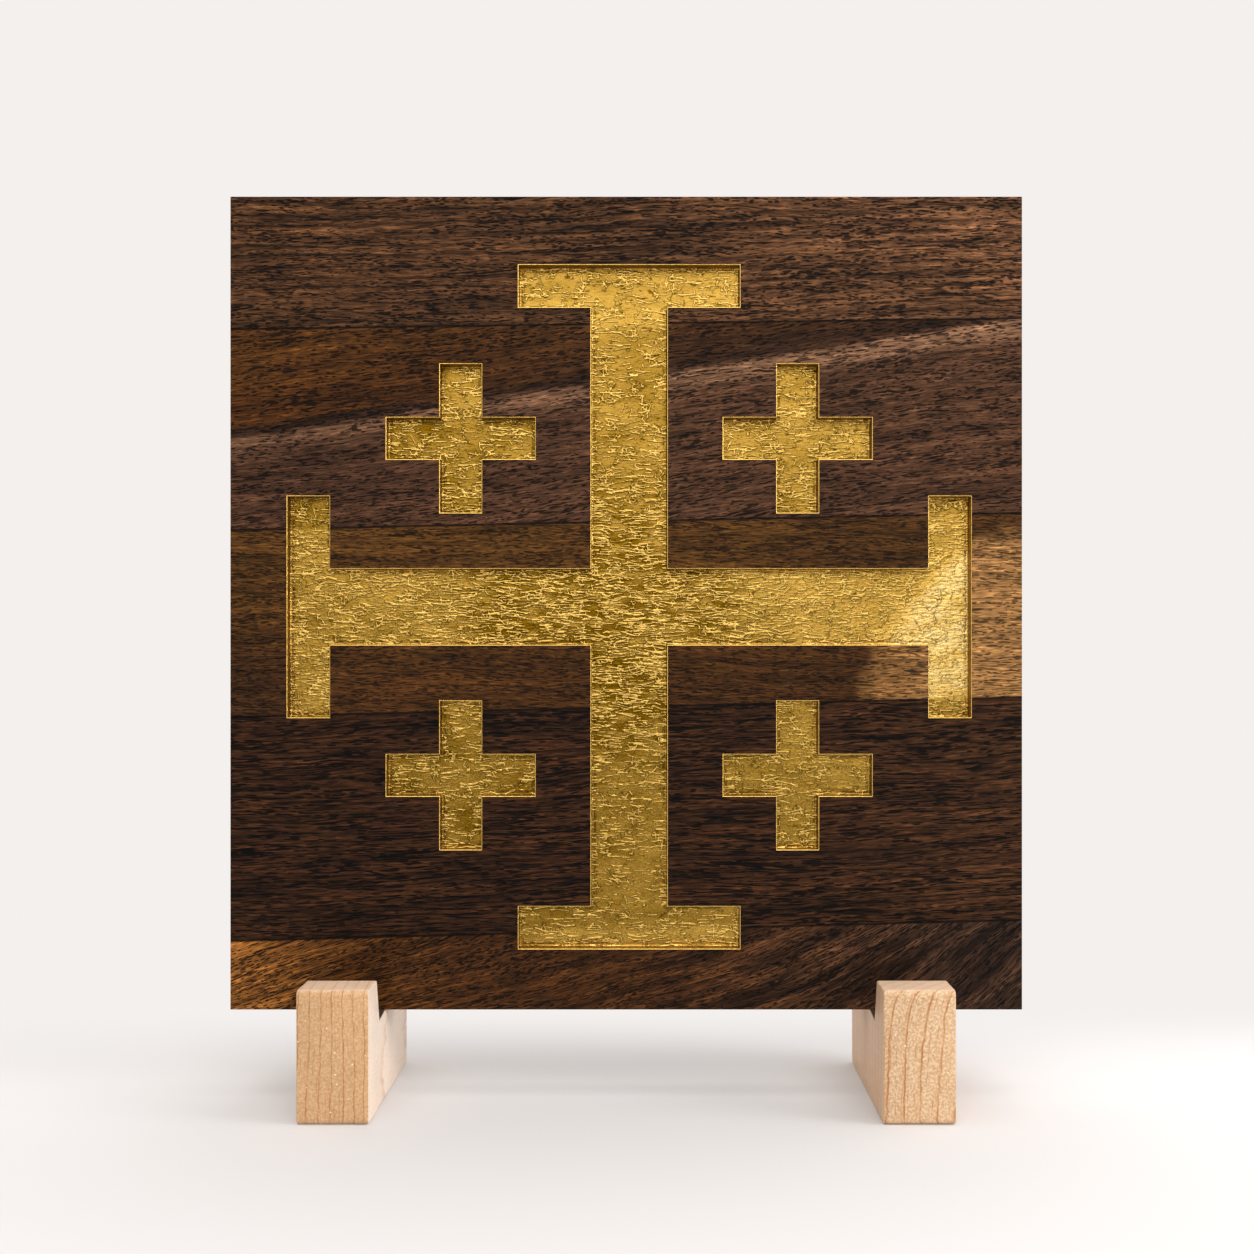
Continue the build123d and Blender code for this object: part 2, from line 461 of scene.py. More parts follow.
def end_grain(n, place, across, ring_gap, seed):
    """End grain's own marks: each ring's thin late line, fine flecks, and pale dots."""
    turns = n.math("FRACT", n.math("DIVIDE", across, ring_gap))
    line = n.times(n.step(turns, 0.84, 0.93), n.step(turns, 0.95, 1.0, 1.0, 0.0))
    worn = n.noise(place, (2.0, 40.0, 6.0), detail=2.0, roughness=0.6, seed=seed)
    line = n.times(line, n.line(worn, 0.36, 0.56, 0.35, 1.0))
    second = n.math("FRACT", n.math("DIVIDE", across, ring_gap * 0.37))
    faint = n.times(n.step(second, 0.8, 0.9), n.step(second, 0.92, 1.0, 1.0, 0.0))
    here = n.step(n.noise(place, (6.0, 40.0, 9.0), seed=seed + 1), 0.5, 0.62)
    faint = n.times(faint, here)
    field = n.noise(place, (1.3, 40.0, 2.1), detail=1.0, seed=seed + 2)
    fleck = n.step(n.math("ABSOLUTE", n.math("SUBTRACT", field, 0.5)), 0.004, 0.02, 1.0, 0.0)
    here = n.step(n.noise(place, (3.0, 40.0, 3.0), seed=seed + 3), 0.5, 0.6)
    fleck = n.times(fleck, here)
    dots = n.cells(place, (4.4, 6.0, 4.4), seed=seed + 4, feature="F1")["Distance"]
    return line, faint, fleck, n.step(dots, 0.05, 0.085, 1.0, 0.0), n.step(turns, 0.45, 0.96)


def ring_place(n, place, middle_x, turn, lean, curl, seed):
    """How far the point is across the growth rings, in mm. They are near-flat sheets turned about
    the upright axis by turn, leaning by lean, and curling over towards the top by curl."""
    x, y, z = n.split(place)[0:3]
    wander = n.noise(place, (34.0, 160.0, 60.0), detail=1.0, seed=seed)
    wobble = n.noise(place, (4.0, 110.0, 5.0), detail=2.0, seed=seed + 1)
    over = n.math("MAXIMUM", n.math("SUBTRACT", z, CURL_FROM), 0.0)
    return n.total(x, -middle_x / MM, n.times(y, -math.tan(turn)), n.times(z, -math.tan(lean)),
                   n.times(over, over, -curl), n.around(wander, 8.0), n.around(wobble, 1.5))


def painted_slot_shade_share(n, place, up, cloud):
    """1 on the front of the slot's floor, which faces up, fading with a ragged edge behind it. This is
    where painted shade stands for the shadow between the foot's lip and the panel.
    """
    _, y, z = n.split(place)[0:3]
    at_floor = n.times(n.step(z, SLOT_FROM - 1.0, SLOT_FROM), n.step(z, SLOT_TO, SLOT_TO + 1.0, 1.0, 0.0))
    ragged = n.total(y, n.around(cloud, 8.0))
    return n.times(up, at_floor, n.step(ragged, PAINTED_SHADE_FROM, PAINTED_SHADE_TO, 1.0, 0.15))


def maple(name, middle_x, side, ends, ring_gap, turn, lean, curl, seed):
    """Clear maple whose grain runs from front to back, so its front and back are end grain. side
    and ends are the colours of its sides and its end grain, and ring_gap is in mm."""
    n = Nodes(bpy.data.materials.new(name))
    place = n.place_mm()
    across = ring_place(n, place, middle_x, turn, lean, curl, seed)
    line, faint, fleck, chalky, late = end_grain(n, place, across, ring_gap, seed + 10)
    fibres = n.noise(place, (0.6, 15.0, 0.6), detail=3.0, seed=seed + 2)
    mottle = n.noise(place, (0.9, 3.0, 0.9), detail=2.0, roughness=0.65, seed=seed + 3)
    rays = n.noise(place, (4.5, 3.0, 0.5), detail=2.0, seed=seed + 5)
    cloud = n.noise(place, (14.0, 20.0, 18.0), detail=2.0, seed=seed + 6)
    normal = n.split(n.add("ShaderNodeNewGeometry").outputs["True Normal"])
    up = n.step(normal[2], 0.5, 0.9)
    end = n.step(n.math("ABSOLUTE", normal[1]), 0.35, 0.75)
    colour = n.blend(end, n.blend(up, side, MAPLE_TOP), ends)
    colour = n.blend(n.times(n.step(mottle, 0.4, 0.62, 0.65, 0.0), end), colour, FRECKLE)
    for mark, on_side, on_end, mark_colour in (
            (late, 0.12, 0.25, LATE_WOOD), (line, 0.34, 0.85, RING_LINE),
            (n.math("MAXIMUM", faint, fleck), 0.0, 0.6, FLECK)):
        share = n.times(mark, n.line(end, 0.0, 1.0, on_side, on_end))
        colour = n.blend(share, colour, mark_colour)
    # Painted shade: the front of the slot's floor is darkened almost to black, for the shadow between the
    # foot's lip and the panel.
    painted_shade_amount = n.times(painted_slot_shade_share(n, place, up, cloud), 0.95)
    tone = n.total(1.0, n.around(fibres, 0.16), n.around(mottle, 0.3), n.around(rays, 0.16),
                   n.around(cloud, 0.2))
    colour = n.tint(n.blend(painted_shade_amount, colour, PAINTED_SLOT_SHADE), tone)
    colour = n.blend(n.times(chalky, end, 0.8), colour, CHALKY)
    height = n.total(n.times(mottle, 0.8), n.times(fibres, 0.4), n.times(line, -0.5),
                     n.times(rays, 0.4))
    roughness = n.line(mottle, 0.3, 0.7, 0.42, 0.56)
    return n.finish(colour, roughness, height, MAPLE_DEPTH_MM, Specular_IOR_Level=0.3)


# For each foot: its material's name, colours and growth rings.
MAPLES = {
    "left_foot": ("maple_left", {
        # The left foot's side colour is painted paler than the right foot's, though its end grain is the
        # darker: painted light, for its inner side, which faces the lamp on the right.
        "side": srgb(246, 227, 210), "ends": srgb(212, 176, 136), "ring_gap": 3.9,
        "turn": -0.05, "lean": math.radians(1.6), "curl": 0.004, "seed": 61.0}),
    "right_foot": ("maple_right", {
        "side": srgb(222, 186, 154), "ends": srgb(224, 196, 162), "ring_gap": 6.2,
        "turn": 0.75, "lean": math.radians(5.0), "curl": 0.02, "seed": 71.0}),
}


# ---------------------------------------- gold leaf

DARK_GOLD, GOLD, PALE_GOLD = srgb(114, 83, 8), srgb(243, 196, 94), srgb(255, 224, 150)
# The first of these two colours is a painted highlight for the leaf's ridges and rim, the second is
# painted shade for the recess's walls.
PAINTED_HIGHLIGHT_GOLD, PAINTED_WALL_SHADE_GOLD = srgb(248, 206, 112), srgb(150, 108, 40)
LEAF_DEPTH_MM = 0.09


def gold_leaf():
    """Gold leaf. The mesh holds how high each point of the leaf stands, how pale the ground
    under it is, and which points are on a wall."""
    n = Nodes(bpy.data.materials.new("gold_leaf"))
    place = n.place_mm()

    def held(name):
        return n.add("ShaderNodeAttribute", attribute_name=name).outputs["Fac"]

    ridge, ground, wall = held("leaf_ridge"), held("leaf_ground"), held("leaf_wall")
    grain = n.noise(place, (0.8, 0.5, 0.4), detail=3.0, roughness=0.65, seed=2)
    cloud = n.noise(place, (16.0, 16.0, 9.0), detail=2.0, seed=5)
    pale = n.total(ground, n.around(cloud, 0.5))
    colour = n.blend(n.line(pale, 0.0, 1.0), DARK_GOLD, GOLD)
    colour = n.blend(n.line(pale, 0.75, 1.1), colour, PALE_GOLD)
    # Painted shadow and highlight: the foot of each ridge is painted darker and its crest paler, standing
    # in for the light and shade on the relief.
    foot = n.times(n.step(ridge, -0.9, -0.1), n.step(ridge, 0.05, 0.4, 1.0, 0.0))
    colour = n.tint(colour, n.line(foot, 0.0, 1.0, 1.0, 0.4))
    colour = n.blend(n.step(ridge, 0.2, 0.75, 0.0, 0.9), colour, PAINTED_HIGHLIGHT_GOLD)
    colour = n.tint(colour, n.line(grain, 0.3, 0.7, 0.78, 1.14))
    # Painted shade: the recess's walls are painted darker and browner than its floor.
    colour = n.blend(n.times(wall, 0.8), colour, PAINTED_WALL_SHADE_GOLD)
    roughness = n.total(n.line(grain, 0.3, 0.7, 0.2, 0.36), n.times(wall, 0.12))
    height = n.total(grain, n.noise(place, (2.2, 1.0, 0.6), detail=3.0, roughness=0.6, seed=7))
    return n.finish(colour, roughness, height, LEAF_DEPTH_MM, Metallic=1.0)


# ---------------------------------------- meshes


FLAT_ANGLE = math.radians(0.2)
SHARP_ANGLE = math.radians(30)
ARRIS = 0.22 * MM
SEAM = 0.14 * MM
FOOT_ARRIS = 0.6 * MM
GLUED_TILT = 0.004


def new_piece(name, mesh, body, node, material):
    piece = bpy.data.objects.new(name, mesh)
    bpy.context.scene.collection.objects.link(piece)
    mesh.materials.clear()
    mesh.materials.append(material)
    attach(piece, body)
    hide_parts(node)
    return piece


def clean_copy(node):
    """A CAD node's mesh with its shared corners joined and its flat faces whole."""
    work = bmesh.new()
    work.from_mesh(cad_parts[node].data)
    bmesh.ops.remove_doubles(work, verts=work.verts, dist=MERGE)
    bmesh.ops.dissolve_limit(work, angle_limit=FLAT_ANGLE, verts=work.verts, edges=work.edges)
    work.normal_update()
    return work


def to_mesh(work, name):
    mesh = bpy.data.meshes.new(name)
    work.to_mesh(mesh)
    work.free()
    return mesh


def ease_edges(work, wanted, offset, segments=2):
    """Rounds the sharp edges that wanted(edge) picks."""
    edges = [e for e in work.edges
             if len(e.link_faces) == 2 and e.calc_face_angle(0) > SHARP_ANGLE and wanted(e)]
    bmesh.ops.bevel(work, geom=edges, offset=offset, segments=segments, profile=0.5, affect="EDGES",
                    clamp_overlap=True)


def is_glued(face):
    """True for the faces along a glue line, which slope a little."""
    return abs(face.normal.z) > 0.9 and abs(face.normal.x) > GLUED_TILT


def make_stave(node, material):
    work = clean_copy(node)

    def touches_glue(edge):
        return any(is_glued(face) for face in edge.link_faces)

    def on_front_or_outside(edge):
        deep = all(v.co.y > PANEL_FRONT + MM for v in edge.verts)
        inside = all(PANEL_LEFT + MM < v.co.x < PANEL_RIGHT - MM for v in edge.verts)
        at_floor = deep and inside and edge.verts[0].co.y < PANEL_BACK - MM
        return not touches_glue(edge) and not at_floor

    def on_seam(edge):
        return touches_glue(edge) and all(v.co.y < PANEL_FRONT + MERGE for v in edge.verts)

    ease_edges(work, on_front_or_outside, ARRIS)
    ease_edges(work, on_seam, SEAM, segments=1)
    return new_piece(f"walnut_{node}", to_mesh(work, f"walnut_{node}"), "panel", node, material)


def make_foot(node, material):
    work = clean_copy(node)

    def runs_deep(edge):
        along_edge = (edge.verts[1].co - edge.verts[0].co).normalized()
        return abs(along_edge.x) < 0.1

    ease_edges(work, runs_deep, FOOT_ARRIS, segments=3)
    mesh = to_mesh(work, f"maple_{node}")
    mesh.shade_smooth()
    mesh.set_sharp_from_angle(angle=math.radians(40))
    return new_piece(f"maple_{node}", mesh, node, node, material)


# ---------------------------------------- the gilding's relief


def chance(i, j, seed):
    """A number from 0 to 1 for each pair of whole numbers."""
    key = (i * 374761393 + j * 668265263 + seed * 974634777) & 0xFFFFFFFF
    key = ((key ^ (key >> 13)) * 1274126177) & 0xFFFFFFFF
    return (key ^ (key >> 16)) / 0xFFFFFFFF


def lattice_noise(x, z, seed):
    """Smooth noise from about -1 to 1 on a unit lattice, the same on every run."""
    x0, z0 = np.floor(x).astype(np.int64), np.floor(z).astype(np.int64)
    fx, fz = x - x0, z - z0

    def slope(ix, iz):
        angle = chance(ix, iz, seed) * 2 * math.pi
        return np.cos(angle), np.sin(angle)

    def pull(ix, iz, dx, dz):
        gx, gz = slope(x0 + ix, z0 + iz)
        return gx * dx + gz * dz

    sx, sz = fx**3 * (fx * (fx * 6 - 15) + 10), fz**3 * (fz * (fz * 6 - 15) + 10)
    low = pull(0, 0, fx, fz) * (1 - sx) + pull(1, 0, fx - 1, fz) * sx
    high = pull(0, 1, fx, fz - 1) * (1 - sx) + pull(1, 1, fx - 1, fz - 1) * sx
    return (low * (1 - sz) + high * sz) * 1.5


def smooth(value, low, high):
    t = np.clip((value - low) / (high - low), 0, 1)
    return t * t * (3 - 2 * t)


# For each stave: how crowded the leaf's ridges are, how much they curl, how pale the ground is,
# and how many open pores show through.
LEAF = {
    "stave_1": (0.22, 0.60, 0.38, 0.5),
    "stave_2": (0.30, 0.55, 0.24, 0.5),
    "stave_3": (0.50, 0.40, 0.40, 0.2),
    "stave_4": (0.30, 0.40, 0.22, 0.1),
    "stave_5": (0.36, 0.45, 0.42, 0.1),
}
CROWD, CURL, GROUND, PORES = range(4)
BUSY_MIDDLE_MM = (-8.0, 178.0)
BUSY_REACH_MM = (74.0, 62.0)
RIDGE_HEIGHT = 0.15 * MM
SWELL_HEIGHT = 0.06 * MM
FINE_RELIEF = 0.05 * MM
PORE_DEPTH = 0.12 * MM
CRINKLE_HEIGHT = 0.09 * MM
LEVEL_EDGE = 0.5 * MM
ROOT_RADIUS = 0.5 * MM
FOLD_INSET, FOLD_WIDTH = 1.2 * MM, 0.34 * MM
GRID_STEP = 0.26 * MM
WALL_STEP = 0.45 * MM
RIM_RADIUS = 0.16 * MM


def by_stave(x, z, column):
    """A column of LEAF at each point, changing softly over the glue lines."""
    share = (x - PANEL_LEFT) / (PANEL_RIGHT - PANEL_LEFT)
    values = [LEAF[stave][column] for stave in STAVES]
    result = np.full_like(x, values[0])
    for (left, right), before, after in zip(GLUE_LINES, values, values[1:]):
        line = left + (right - left) * share
        result += smooth(line - z, -1.5 * MM, 1.5 * MM) * (after - before)
    return result


def sapwood_under(x, z):
    across = (x / MM - SAPWOOD_MIDDLE[0]) / SAPWOOD_REACH[0]
    up = (z / MM - SAPWOOD_MIDDLE[1]) / SAPWOOD_REACH[1]
    left, right = GLUE_LINES[2]
    line = left + (right - left) * (x - PANEL_LEFT) / (PANEL_RIGHT - PANEL_LEFT)
    return smooth(1 - np.hypot(across, up), -0.06, 0.16) * smooth(z - line, -1 * MM, 1 * MM)


def busy_share(x, z):
    """1 about the crossing, where the leaf is most broken over dark wood."""
    across = (x / MM - BUSY_MIDDLE_MM[0]) / BUSY_REACH_MM[0]
    up = (z / MM - BUSY_MIDDLE_MM[1]) / BUSY_REACH_MM[1]
    return smooth(1 - np.hypot(across, up), 0, 0.55)


def contour(field, width):
    """1 on the lines where a noise field crosses 0, falling to 0 at width and on to -1."""
    return np.clip(1 - np.abs(field) / width, -1, 1)


def dashes(x, z, cell, length, thick, slant, share, seed):
    """Short raised dashes, at most one in each cell of a grid: 1 on a dash's middle line, falling
    to -1 at twice its half thickness. share is how many of the cells hold a dash, 0 to 1."""
    column, row = np.floor(x / cell[0]).astype(np.int64), np.floor(z / cell[1]).astype(np.int64)
    nearest = np.full(x.shape, 9.0)
    for di in (-1, 0, 1):
        for dj in (-1, 0, 1):
            i, j = column + di, row + dj
            middle_x = (i + 0.5 + 0.8 * (chance(i, j, seed) - 0.5)) * cell[0]
            middle_z = (j + 0.5 + 0.8 * (chance(i, j, seed + 1) - 0.5)) * cell[1]
            half = length * (0.2 + 0.5 * chance(i, j, seed + 2))
            angle = slant * (chance(i, j, seed + 3) + chance(i, j, seed + 4) - 1) * 2
            dx, dz = x - middle_x, z - middle_z
            on = dx * np.cos(angle) + dz * np.sin(angle)
            off = dz * np.cos(angle) - dx * np.sin(angle)
            far = np.hypot(np.maximum(np.abs(on) - half, 0), off)
            nearest = np.where(chance(i, j, seed + 5) < share, np.minimum(nearest, far), nearest)
    return np.clip(1 - nearest / thick, -1, 1)


def bent_place(x_mm, z_mm):
    """The point moved a little, so that the ridges wander."""
    bend_x = x_mm + 1.6 * lattice_noise(x_mm / 6.0, z_mm / 5.0, 1)
    bend_z = z_mm + 0.7 * lattice_noise(x_mm / 9.0, z_mm / 6.0, 2)
    return bend_x, bend_z + 0.14 * lattice_noise(x_mm / 2.4, z_mm / 2.0, 3)


def leaf_ridges(x, z, away, busy, sapwood):
    """Short dashes, curling worms, and one fold that runs along the walls: -1 to 1."""
    x_mm, z_mm = x / MM, z / MM
    bend_x, bend_z = bent_place(x_mm, z_mm)
    crowd = by_stave(x, z, CROWD) * (1 - busy) + 0.9 * busy
    crowd = crowd + 0.3 * np.exp(-(away / MM) / 2.0) - 0.35 * sapwood
    share = np.clip(crowd * (1 + lattice_noise(x_mm / 8.0, z_mm / 4.0, 8)), 0, 0.94)
    lines = np.maximum(dashes(bend_x, bend_z, (3.4, 0.95), 4.6, 0.23, 0.14, share, 20),
                       dashes(bend_x, bend_z, (2.4, 1.5), 2.2, 0.2, 1.1, 0.6 * share, 40))
    worms = contour(lattice_noise(x_mm / 2.2, z_mm / 1.6, 6), 0.24)
    curl = by_stave(x, z, CURL) * (1 - 0.8 * busy)
    patches = lattice_noise(x_mm / 5.0, z_mm / 5.0, 7)
    worm_gate = smooth(patches, 0.45 - 0.7 * curl, 0.65 - 0.7 * curl)
    stray = 0.25 * MM * lattice_noise(x_mm / 4.0, z_mm / 4.0, 12)
    fold = np.clip(1 - np.abs(away - FOLD_INSET - stray) / FOLD_WIDTH, -1, 1)
    fold_gate = 0.7 * smooth(lattice_noise(x_mm / 9.0, z_mm / 9.0, 13), -0.25, 0.1)
    ridges = np.maximum(lines + 1, 0.85 * (worms + 1) * worm_gate)
    return np.maximum(ridges, (fold + 1) * fold_gate) - 1


def leaf_pattern(x, z, away):
    """For each point of a recess's floor: the ridges (-1 to 1), pores (0 to 1) and ground (0 to 1)."""
    x_mm, z_mm = x / MM, z / MM
    bend_x, bend_z = bent_place(x_mm, z_mm)
    busy, sapwood = busy_share(x, z), sapwood_under(x, z)
    pores = smooth(lattice_noise(bend_x / 2.6, bend_z / 0.6, 14), 0.34, 0.6)
    share = np.maximum(by_stave(x, z, PORES), 0.9 * sapwood)
    patches = lattice_noise(x_mm / 4.0, z_mm / 2.0, 15)
    pores *= smooth(patches, 0.5 - 1.1 * share, 0.8 - 1.1 * share)
    blotch = lattice_noise(bend_x / 8.0, bend_z / 3.0, 16)
    # The ground also grows paler towards the right: painted light, for the lamps on the right.
    ground = by_stave(x, z, GROUND) * (1 - 0.9 * busy) + 0.1 * x / (100 * MM)
    ground = ground + 0.3 * blotch * (0.3 + busy)
    ground = ground * (1 - sapwood) + (0.95 + 0.1 * blotch) * sapwood - 0.5 * pores
    return leaf_ridges(x, z, away, busy, sapwood), pores, np.clip(ground, 0, 1)


class Leaf:
    """A closed skin over a recess's floor and walls, with its free face in relief. It keeps a
    list of points, and each point's height, ground and share of wall, as it grows."""

    def __init__(self, node):
        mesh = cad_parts[node].data
        mesh.calc_loop_triangles()
        points = corners_of(node)
        levels = np.unique(points[:, 1].round(7))
        self.front, self.floor, self.back = levels[0], levels[-2], levels[-1]
        flat = [t for t in mesh.loop_triangles
                if all(abs(points[i, 1] - self.floor) < MERGE for i in t.vertices)]
        corners = np.array([[points[i, [0, 2]] for i in t.vertices] for t in flat])
        self.coarse_x = np.unique(corners[:, :, 0].round(7))
        self.coarse_z = np.unique(corners[:, :, 1].round(7))
        self.inside = np.array([[self.covers(corners, x, z) for z in self.middles(self.coarse_z)]
                                for x in self.middles(self.coarse_x)])
        self.skin = self.back - self.floor

    @staticmethod
    def middles(lines):
        return (lines[1:] + lines[:-1]) / 2

    @staticmethod
    def covers(triangles, x, z):
        for a, b, c in triangles:
            sides = [(q[0] - p[0]) * (z - p[1]) - (q[1] - p[1]) * (x - p[0])
                     for p, q in ((a, b), (b, c), (c, a))]
            if min(sides) > 0 or max(sides) < 0:
                return True
        return False

    @staticmethod
    def fine(lines):
        """Fine grid lines that keep every coarse one, and the coarse cell that each step is in."""
        values, owner = [lines[0]], []
        for index, (low, high) in enumerate(zip(lines, lines[1:])):
            count = max(1, round((high - low) / GRID_STEP))
            values += list(low + (high - low) * np.arange(1, count + 1) / count)
            owner += [index] * count
        return np.array(values), np.array(owner)

    def wall_distance(self, x, z):
        """How far each grid point is from the nearest wall."""
        nearest = np.full(x.shape, 1.0)
        for (x0, z0), (x1, z1) in self.wall_lines():
            low_x, high_x = sorted((x0, x1))
            low_z, high_z = sorted((z0, z1))
            dx = np.maximum(np.maximum(low_x - x, x - high_x), 0)
            dz = np.maximum(np.maximum(low_z - z, z - high_z), 0)
            nearest = np.minimum(nearest, np.hypot(dx, dz))
        return nearest

    def wall_lines(self):
        """Each coarse edge between the inside and the outside, as two corners."""
        found = []
        padded = np.pad(self.inside, 1)
        for i in range(len(self.coarse_x)):
            for j in range(len(self.coarse_z) - 1):
                if padded[i, j + 1] != padded[i + 1, j + 1]:
                    x = self.coarse_x[i]
                    found.append(((x, self.coarse_z[j]), (x, self.coarse_z[j + 1])))
        for i in range(len(self.coarse_x) - 1):
            for j in range(len(self.coarse_z)):
                if padded[i + 1, j] != padded[i + 1, j + 1]:
                    z = self.coarse_z[j]
                    found.append(((self.coarse_x[i], z), (self.coarse_x[i + 1], z)))
        return found

    def height(self, x, z, away, ridges, pores):
        """The floor's Y at each point: its relief, and a hollow root along the walls."""
        depth = ROOT_RADIUS - np.clip(away, 0, ROOT_RADIUS)
        root = ROOT_RADIUS - np.sqrt(ROOT_RADIUS**2 - depth**2)
        swell = SWELL_HEIGHT * lattice_noise(x / (7 * MM), z / (6 * MM), 9)
        swell += FINE_RELIEF * lattice_noise(x / (1.8 * MM), z / (0.9 * MM), 10)
        relief = RIDGE_HEIGHT * smooth(ridges, -0.1, 1.0) - PORE_DEPTH * pores + swell
        return self.floor - relief * smooth(away, 0, LEVEL_EDGE) - root

    def lay_floor(self):
        """Adds the floor. Returns which cells of the fine grid are filled, and each grid point's
        place in the list of points."""
        xs, own_x = self.fine(self.coarse_x)
        zs, own_z = self.fine(self.coarse_z)
        filled = self.inside[np.ix_(own_x, own_z)]
        used = np.zeros((len(xs), len(zs)), bool)
        for di in (0, 1):
            for dj in (0, 1):
                used[di:filled.shape[0] + di, dj:filled.shape[1] + dj] |= filled
        index = -np.ones(used.shape, int)
        index[used] = np.arange(used.sum())
        i, j = np.nonzero(used)
        x, z = xs[i], zs[j]
        away = self.wall_distance(x, z)
        ridges, pores, ground = leaf_pattern(x, z, away)
        self.points = list(zip(x, self.height(x, z, away, ridges, pores), z))
        self.ridge, self.ground, self.wall = list(ridges), list(ground), [0.0] * len(x)
        i, j = np.nonzero(filled)
        corners = (index[i + 1, j], index[i + 1, j + 1], index[i, j + 1], index[i, j])
        self.faces = [tuple(face) for face in np.stack(corners, 1).tolist()]
        return filled, index

    def build(self, name):
        for loop in self.border_loops(*self.lay_floor()):
            self.add_wall(loop)
        mesh = bpy.data.meshes.new(name)
        mesh.from_pydata(self.points, [], self.faces)
        mesh.validate()
        self.write(mesh, "leaf_ridge", self.ridge)
        self.write(mesh, "leaf_ground", self.ground)
        self.write(mesh, "leaf_wall", self.wall)
        return mesh

    def add_point(self, place, ridge, ground, wall):
        self.points.append(place)
        self.ridge.append(ridge)
        self.ground.append(ground)
        self.wall.append(wall)
        return len(self.points) - 1

    @staticmethod
    def write(mesh, name, values):
        layer = mesh.attributes.new(name, "FLOAT", "POINT")
        layer.data.foreach_set("value", np.asarray(values, np.float32))

    @staticmethod
    def border_loops(filled, index):
        """The floor's border as closed loops of grid points, with the floor on their left."""
        follow = {}
        padded = np.pad(filled, 1)
        for i, j in zip(*np.nonzero(filled)):
            pi, pj = i + 1, j + 1
            if not padded[pi, pj - 1]:
                follow[index[i, j]] = index[i + 1, j]
            if not padded[pi + 1, pj]:
                follow[index[i + 1, j]] = index[i + 1, j + 1]
            if not padded[pi, pj + 1]:
                follow[index[i + 1, j + 1]] = index[i, j + 1]
            if not padded[pi - 1, pj]:
                follow[index[i, j + 1]] = index[i, j]
        loops = []
        while follow:
            start, after = next(iter(follow.items()))
            loop = [start]
            while after != start:
                loop.append(after)
                after = follow.pop(after)
            follow.pop(start, None)
            loops.append(loop)
        return loops

    @staticmethod
    def along_border(flat):
        """For each point of a border: how far along it is in mm, the way out of the recess, and
        whether the border turns there."""
        ahead = np.roll(flat, -1, 0) - flat
        length = np.linalg.norm(ahead, axis=1)
        ahead /= length[:, None]
        turn = np.abs((ahead * np.roll(ahead, 1, 0)).sum(1)) < 0.5
        return np.cumsum(length) / MM, np.stack([ahead[:, 1], -ahead[:, 0]], 1), turn

    def add_wall(self, loop):
        """The free face of a wall, from the floor's border out to the rim."""
        base = np.array([self.points[k] for k in loop])
        flat = base[:, [0, 2]]
        length, outward, turn = self.along_border(flat)
        rows = round((self.floor - self.front) / WALL_STEP)
        before = list(loop)
        for row in range(1, rows + 1):
            last = row == rows
            y = base[:, 1] + (self.front - base[:, 1]) * (row / rows)
            crinkle = lattice_noise(length / 1.5, (self.floor - y) / MM + 40.0, 11)
            inward = CRINKLE_HEIGHT * np.clip(crinkle, 0, 1) * ~turn * (not last)
            y = y + RIM_RADIUS * last
            now = self.add_row(flat - outward * inward[:, None], y, crinkle, 0.2 if last else 1.0)
            self.join_rows(before, now)
            before = now
        corner = outward + np.roll(outward, 1, 0) * turn[:, None]
        level = np.full(len(flat), self.front)
        # The rim takes a ridge value of 1, so it is painted in the highlight colour.
        rim = self.add_row(flat + corner * RIM_RADIUS, level, np.ones(len(flat)), 0.0)
        self.join_rows(before, rim)
        self.add_back(flat, outward, np.nonzero(turn)[0], rim)

    def join_rows(self, before, now):
        self.faces += zip(before, before[1:] + before[:1], now[1:] + now[:1], now)

    def add_row(self, place, y, lift, wall):
        """One ring of points round a recess."""
        return [self.add_point((px, py, pz), up, 0.4, wall)
                for px, py, pz, up in zip(place[:, 0], y, place[:, 1], lift)]

    def add_back(self, flat, outward, corners, rim):
        """The rim's flat edge, the outer walls and the back, with points only at the corners."""
        ring = []
        for k in corners:
            x, z = flat[k] + (outward[k] + outward[k - 1]) * self.skin
            # These points take a ridge value of 0.6, so the rim's flat edge is painted mostly in the
            # highlight colour.
            ring.append([self.add_point((x, y, z), 0.6, 0.6, 0.0) for y in (self.front, self.back)])
        for place, first in enumerate(corners):
            after = (place + 1) % len(corners)
            last = corners[after]
            span = [k % len(rim) for k in range(first, last + 1 + (last <= first) * len(rim))]
            (front, back), (next_front, next_back) = ring[place], ring[after]
            self.faces.append((*[rim[k] for k in span], next_front, front))
            self.faces.append((front, next_front, next_back, back))
        self.faces.append(tuple(back for _, back in ring))


def make_leaf(cross, material):
    node = f"gilding_{cross}"
    mesh = Leaf(node).build(f"leaf_{cross}")
    mesh.shade_smooth()
    mesh.set_sharp_from_angle(angle=math.radians(60))
    return new_piece(f"leaf_{cross}", mesh, "panel", node, material)


# ---------------------------------------- the stage

CAMERA_AWAY = 0.5236
CAMERA_RIGHT = 0.0089
CAMERA_HEIGHT = 0.1632
CAMERA_SHIFT = (-0.0183, 0.0279)
FOCAL_SHARE = 1396.0 / 1254.0
SENSOR_MM = 36.0
BACKDROP = srgb(244, 240, 238)
FLOOR = srgb(218, 218, 221)
FLOOR_RADIUS = 6.0
ROOM = (1.0, 0.94, 0.875)
ROOM_FRONT, ROOM_BACK, ROOM_TOP = 0.3, 0.9, 0.7
LIGHTS_AIM = (0.0, 0.0, 0.15)
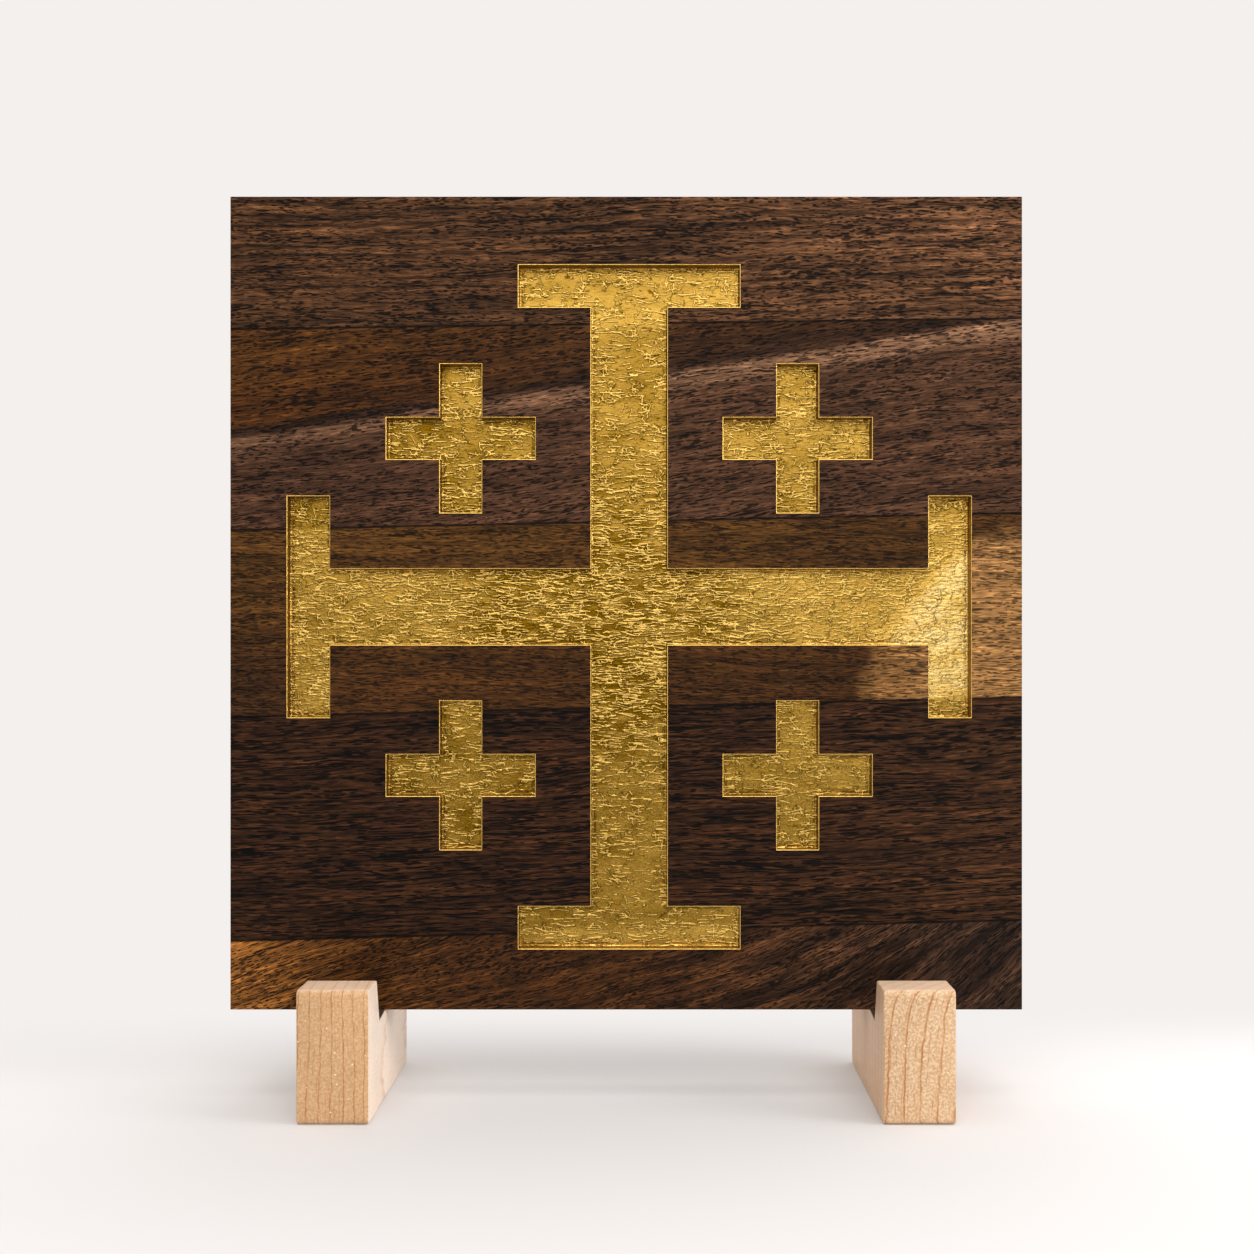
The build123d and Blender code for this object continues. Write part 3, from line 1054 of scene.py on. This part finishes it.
# For each light: its place, size, power in watts and colour.
LIGHTS = {
    "key": ((0.15, -0.1, 1.3), (1.5, 1.5), 13.5, (1.0, 0.975, 0.94)),
    "front": ((-0.05, -1.35, 0.74), (1.5, 1.1), 9.5, (1.0, 0.96, 0.9)),
    "right": ((1.2, -0.35, 0.45), (0.5, 0.5), 7.0, (1.0, 0.97, 0.94)),
}


def make_camera():
    """Level and square to the panel, a little right of its middle and below it."""
    data = bpy.data.cameras.new("camera")
    data.sensor_width = SENSOR_MM
    data.lens = SENSOR_MM * FOCAL_SHARE
    data.shift_x, data.shift_y = CAMERA_SHIFT
    data.clip_start = 0.01
    camera = bpy.data.objects.new("camera", data)
    camera.location = (CAMERA_RIGHT, PANEL_FRONT - CAMERA_AWAY, CAMERA_HEIGHT)
    camera.rotation_euler = (math.radians(90), 0, 0)
    bpy.context.scene.collection.objects.link(camera)
    bpy.context.scene.camera = camera


def make_light(name, place, size, power, colour):
    data = bpy.data.lights.new(name, "AREA")
    data.shape = "RECTANGLE"
    data.size, data.size_y = size
    data.energy = power
    data.color = colour
    light = bpy.data.objects.new(name, data)
    light.location = place
    light.rotation_euler = (Vector(LIGHTS_AIM) - Vector(place)).to_track_quat("-Z", "Y").to_euler()
    bpy.context.scene.collection.objects.link(light)


def make_floor():
    """A pale floor that passes into the backdrop's own colour behind the object. What it gives
    back to the object falls off towards the dim room in front."""
    work = bmesh.new()
    bmesh.ops.create_circle(work, cap_ends=True, segments=96, radius=FLOOR_RADIUS)
    floor = bpy.data.objects.new("floor", to_mesh(work, "floor"))
    bpy.context.scene.collection.objects.link(floor)
    n = Nodes(bpy.data.materials.new("floor"))
    spot = n.add("ShaderNodeTexCoord").outputs["Object"]
    depth = n.split(spot)[1]
    out = n.vector("LENGTH", spot)
    far = n.math("MAXIMUM", n.step(out, 0.3, 1.0), n.step(depth, 0.025, 0.13))
    direct = n.add("ShaderNodeLightPath").outputs["Is Camera Ray"]
    lit = n.math("MAXIMUM", n.step(depth, -0.9, -0.16, 0.25, 1.0), direct)
    near = n.add("ShaderNodeBsdfDiffuse", {"Color": n.tint(FLOOR, lit)})
    glow = n.add("ShaderNodeEmission", {"Color": (*BACKDROP, 1.0), "Strength": lit})
    n.finish_mixed(far, near.outputs[0], glow.outputs[0])
    floor.data.materials.append(n.owner)


def make_world():
    """A pale studio: the backdrop as the camera sees it, and as the object does a bright back
    and ceiling with a dim room in front."""
    world = bpy.data.worlds.new("studio")
    bpy.context.scene.world = world
    n = Nodes(world, "ShaderNodeOutputWorld")
    way = n.split(n.add("ShaderNodeTexCoord").outputs["Generated"])
    strength = n.math("MAXIMUM", n.step(way[1], -0.3, 0.5, ROOM_FRONT, ROOM_BACK),
                      n.step(way[2], 0.25, 0.9, ROOM_FRONT, ROOM_TOP))
    seen = n.add("ShaderNodeBackground", {"Color": (*BACKDROP, 1.0)})
    room = n.add("ShaderNodeBackground", {"Color": (*ROOM, 1.0), "Strength": strength})
    direct = n.add("ShaderNodeLightPath").outputs["Is Camera Ray"]
    n.finish_mixed(direct, room.outputs[0], seen.outputs[0])


def make_stage():
    make_world()
    make_floor()
    for name, (place, size, power, colour) in LIGHTS.items():
        make_light(name, place, size, power, colour)
    make_camera()
    bpy.context.scene.view_settings.view_transform = "Standard"


# ---------------------------------------- making everything

for stave, (look, region, grain_settings) in WALNUTS.items():
    make_stave(stave, walnut(look, region, **grain_settings))
gold = gold_leaf()
for cross in CROSSES:
    make_leaf(cross, gold)
for foot, (look, ring_settings) in MAPLES.items():
    foot_low, foot_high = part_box(foot)
    make_foot(foot, maple(look, (foot_low.x + foot_high.x) / 2, **ring_settings))
make_stage()
